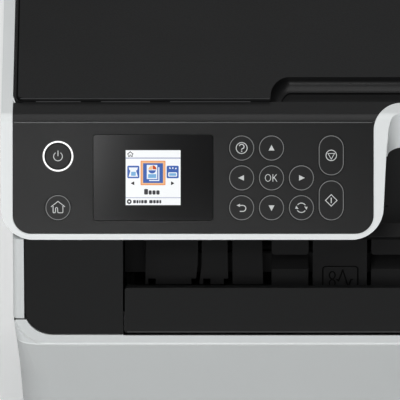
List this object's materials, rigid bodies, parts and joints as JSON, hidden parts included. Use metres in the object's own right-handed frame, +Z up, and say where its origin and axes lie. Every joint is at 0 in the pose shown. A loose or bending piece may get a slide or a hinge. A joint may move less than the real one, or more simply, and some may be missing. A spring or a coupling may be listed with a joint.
{
  "type": "inkjet printer",
  "caption": "Desktop all-in-one inkjet printer with ink tank, flatbed scanner and lid, sloping key panel with square screen, output flap and front paper cassette.",
  "frame": {"origin": "on the table, under the middle of the printer's box", "axes": "+X to the right seen from the front, +Y towards the back, +Z up"},
  "size_m": [0.375, 0.347, 0.302],
  "materials": {
    "light_casing": "fine satin texture",
    "light_base": "fine satin texture",
    "black_casing": "fine satin texture",
    "black_frame": "satin",
    "black_lid": "fine leather-like grain",
    "panel_black": "satin",
    "key_black": "satin with pale rings and symbols",
    "window_black": "high gloss, smoked",
    "inner_black": "plain moulded",
    "clear_glass": "float glass",
    "clear_pane": "clear moulded pane",
    "tank_plastic": "milky translucent",
    "white_pad": "white film on foam",
    "board_green": "solder mask",
    "steel": "plated sheet",
    "dark_steel": "ground shaft",
    "brass_gear": "moulded acetal",
    "white_gear": "moulded acetal",
    "rubber_black": "matt",
    "grey_plastic": "plain moulded"
  },
  "bodies": {
    "chassis": {"base_shell": "light_base", "upper_body_shell": "light_casing", "front_left_cover": "black_casing", "front_right_cover": "black_casing", "ink_window": "clear_pane", "front_fascia": "black_casing", "output_guide": "inner_black", "jam_panel": "inner_black", "print_frame": "inner_black", "carriage_rail": "steel", "carriage_motor": "steel", "feed_motor": "steel", "drive_belt": "rubber_black", "ink_tank": "tank_plastic", "main_board": "board_green", "power_supply": "steel", "ac_inlet": "inner_black", "scanner_hinges": "grey_plastic", "rubber_feet": "rubber_black", "case_screws": "dark_steel"},
    "scanner_unit": {"scanner_case": "light_casing", "scanner_top_frame": "black_frame", "scanner_glass": "clear_glass", "panel_face": "panel_black", "display_window": "window_black", "display_board": "board_green"},
    "lid": {"lid_shell": "black_lid", "lid_pad": "white_pad"},
    "scan_bar": {"scan_bar": "inner_black"},
    "tank_cover": {"tank_cover": "black_casing"},
    "tank_cap": {"tank_cap": "inner_black"},
    "carriage": {"carriage": "inner_black", "print_head": "grey_plastic"},
    "motor_pulley": {"motor_pulley": "brass_gear"},
    "idler_pulley": {"idler_pulley": "white_gear"},
    "feed_roller": {"feed_roller": "dark_steel", "feed_gear": "white_gear"},
    "motor_pinion": {"motor_pinion": "brass_gear"},
    "eject_roller": {"eject_roller": "rubber_black"},
    "pickup_roller": {"pickup_roller": "rubber_black"},
    "rear_cover": {"rear_cover": "grey_plastic"},
    "cassette": {"cassette_tray": "grey_plastic", "cassette_front": "light_base"},
    "edge_guide_left": {"edge_guide_left": "grey_plastic"},
    "edge_guide_right": {"edge_guide_right": "grey_plastic"},
    "length_guide": {"length_guide": "grey_plastic"},
    "output_tray": {"output_tray": "black_casing"},
    "output_flap": {"output_flap": "black_casing"},
    "power_button": {"power_button": "key_black"},
    "home_button": {"home_button": "key_black"},
    "help_button": {"help_button": "key_black"},
    "up_button": {"up_button": "key_black"},
    "left_button": {"left_button": "key_black"},
    "ok_button": {"ok_button": "key_black"},
    "right_button": {"right_button": "key_black"},
    "back_button": {"back_button": "key_black"},
    "down_button": {"down_button": "key_black"},
    "turn_button": {"turn_button": "key_black"},
    "stop_button": {"stop_button": "key_black"},
    "start_button": {"start_button": "key_black"}
  },
  "joints": [
    {"name": "scanner_lift", "type": "hinge", "parent": "chassis", "child": "scanner_unit", "pos_m": [0, 0.165, 0.2525], "axis": [-1, 0, 0], "range_deg": [0, 35]},
    {"name": "lid_hinge", "type": "hinge", "parent": "scanner_unit", "child": "lid", "pos_m": [0, 0.155, 0.2988], "axis": [-1, 0, 0], "range_deg": [0, 85]},
    {"name": "scan_slide", "type": "slide", "parent": "scanner_unit", "child": "scan_bar", "axis": [1, 0, 0], "range_m": [0, 0.31]},
    {"name": "tank_cover_hinge", "type": "hinge", "parent": "chassis", "child": "tank_cover", "pos_m": [0.133, -0.14506, 0.2464], "axis": [-1, 0, 0], "range_deg": [0, 88]},
    {"name": "tank_cap_turn", "type": "hinge", "parent": "chassis", "child": "tank_cap", "pos_m": [0.133, -0.156, 0.24], "axis": [0, 0, 1], "range_deg": [0, 90]},
    {"name": "carriage_slide", "type": "slide", "parent": "chassis", "child": "carriage", "axis": [-1, 0, 0], "range_m": [0, 0.195]},
    {"name": "motor_pulley_turn", "type": "hinge", "parent": "chassis", "child": "motor_pulley", "pos_m": [0.158, 0.002, 0.242], "axis": [0, 0, -1], "range_deg": [0, 1650]},
    {"name": "idler_pulley_turn", "type": "hinge", "parent": "chassis", "child": "idler_pulley", "pos_m": [-0.158, 0.002, 0.242], "axis": [0, 0, -1], "range_deg": [0, 1650]},
    {"name": "feed_turn", "type": "hinge", "parent": "chassis", "child": "feed_roller", "pos_m": [0, -0.015, 0.2088], "axis": [1, 0, 0], "continuous": true},
    {"name": "pinion_turn", "type": "hinge", "parent": "chassis", "child": "motor_pinion", "pos_m": [-0.146, -0.015, 0.18445], "axis": [1, 0, 0], "continuous": true},
    {"name": "eject_turn", "type": "hinge", "parent": "chassis", "child": "eject_roller", "pos_m": [0, -0.112, 0.2103], "axis": [1, 0, 0], "continuous": true},
    {"name": "pickup_turn", "type": "hinge", "parent": "chassis", "child": "pickup_roller", "pos_m": [0, 0.105, 0.08], "axis": [1, 0, 0], "continuous": true},
    {"name": "rear_cover_slide", "type": "slide", "parent": "chassis", "child": "rear_cover", "axis": [0, 1, 0], "range_m": [0, 0.04]},
    {"name": "cassette_slide", "type": "slide", "parent": "chassis", "child": "cassette", "axis": [0, -1, 0], "range_m": [0, 0.24]},
    {"name": "edge_left_slide", "type": "slide", "parent": "cassette", "child": "edge_guide_left", "axis": [1, 0, 0], "range_m": [0, 0.05]},
    {"name": "edge_right_slide", "type": "slide", "parent": "cassette", "child": "edge_guide_right", "axis": [-1, 0, 0], "range_m": [0, 0.05]},
    {"name": "length_slide", "type": "slide", "parent": "cassette", "child": "length_guide", "axis": [0, 1, 0], "range_m": [0, 0.09]},
    {"name": "output_slide", "type": "slide", "parent": "chassis", "child": "output_tray", "axis": [0, -1, 0], "range_m": [0, 0.1]},
    {"name": "flap_hinge", "type": "hinge", "parent": "output_tray", "child": "output_flap", "pos_m": [-0.02, -0.17, 0.2002], "axis": [1, 0, 0], "range_deg": [0, 90]},
    {"name": "power_press", "type": "slide", "parent": "scanner_unit", "child": "power_button", "axis": [0, 0.866, -0.5], "range_m": [0, 0.0005], "stiffness_N_per_m": 800},
    {"name": "home_press", "type": "slide", "parent": "scanner_unit", "child": "home_button", "axis": [0, 0.866, -0.5], "range_m": [0, 0.0005], "stiffness_N_per_m": 800},
    {"name": "help_press", "type": "slide", "parent": "scanner_unit", "child": "help_button", "axis": [0, 0.866, -0.5], "range_m": [0, 0.0005], "stiffness_N_per_m": 800},
    {"name": "up_press", "type": "slide", "parent": "scanner_unit", "child": "up_button", "axis": [0, 0.866, -0.5], "range_m": [0, 0.0005], "stiffness_N_per_m": 800},
    {"name": "left_press", "type": "slide", "parent": "scanner_unit", "child": "left_button", "axis": [0, 0.866, -0.5], "range_m": [0, 0.0005], "stiffness_N_per_m": 800},
    {"name": "ok_press", "type": "slide", "parent": "scanner_unit", "child": "ok_button", "axis": [0, 0.866, -0.5], "range_m": [0, 0.0005], "stiffness_N_per_m": 800},
    {"name": "right_press", "type": "slide", "parent": "scanner_unit", "child": "right_button", "axis": [0, 0.866, -0.5], "range_m": [0, 0.0005], "stiffness_N_per_m": 800},
    {"name": "back_press", "type": "slide", "parent": "scanner_unit", "child": "back_button", "axis": [0, 0.866, -0.5], "range_m": [0, 0.0005], "stiffness_N_per_m": 800},
    {"name": "down_press", "type": "slide", "parent": "scanner_unit", "child": "down_button", "axis": [0, 0.866, -0.5], "range_m": [0, 0.0005], "stiffness_N_per_m": 800},
    {"name": "turn_press", "type": "slide", "parent": "scanner_unit", "child": "turn_button", "axis": [0, 0.866, -0.5], "range_m": [0, 0.0005], "stiffness_N_per_m": 800},
    {"name": "stop_press", "type": "slide", "parent": "scanner_unit", "child": "stop_button", "axis": [0, 0.866, -0.5], "range_m": [0, 0.0005], "stiffness_N_per_m": 800},
    {"name": "start_press", "type": "slide", "parent": "scanner_unit", "child": "start_button", "axis": [0, 0.866, -0.5], "range_m": [0, 0.0005], "stiffness_N_per_m": 800}
  ],
  "couplings": [
    {"joint": "motor_pulley_turn", "follows": "carriage_slide", "rad_per_m": 147.06},
    {"joint": "idler_pulley_turn", "follows": "carriage_slide", "rad_per_m": 147.06},
    {"joint": "pinion_turn", "follows": "feed_turn", "ratio": -3},
    {"joint": "eject_turn", "follows": "feed_turn", "ratio": 1.3333},
    {"joint": "pickup_turn", "follows": "feed_turn", "ratio": -0.5},
    {"joint": "edge_right_slide", "follows": "edge_left_slide", "ratio": 1}
  ]
}
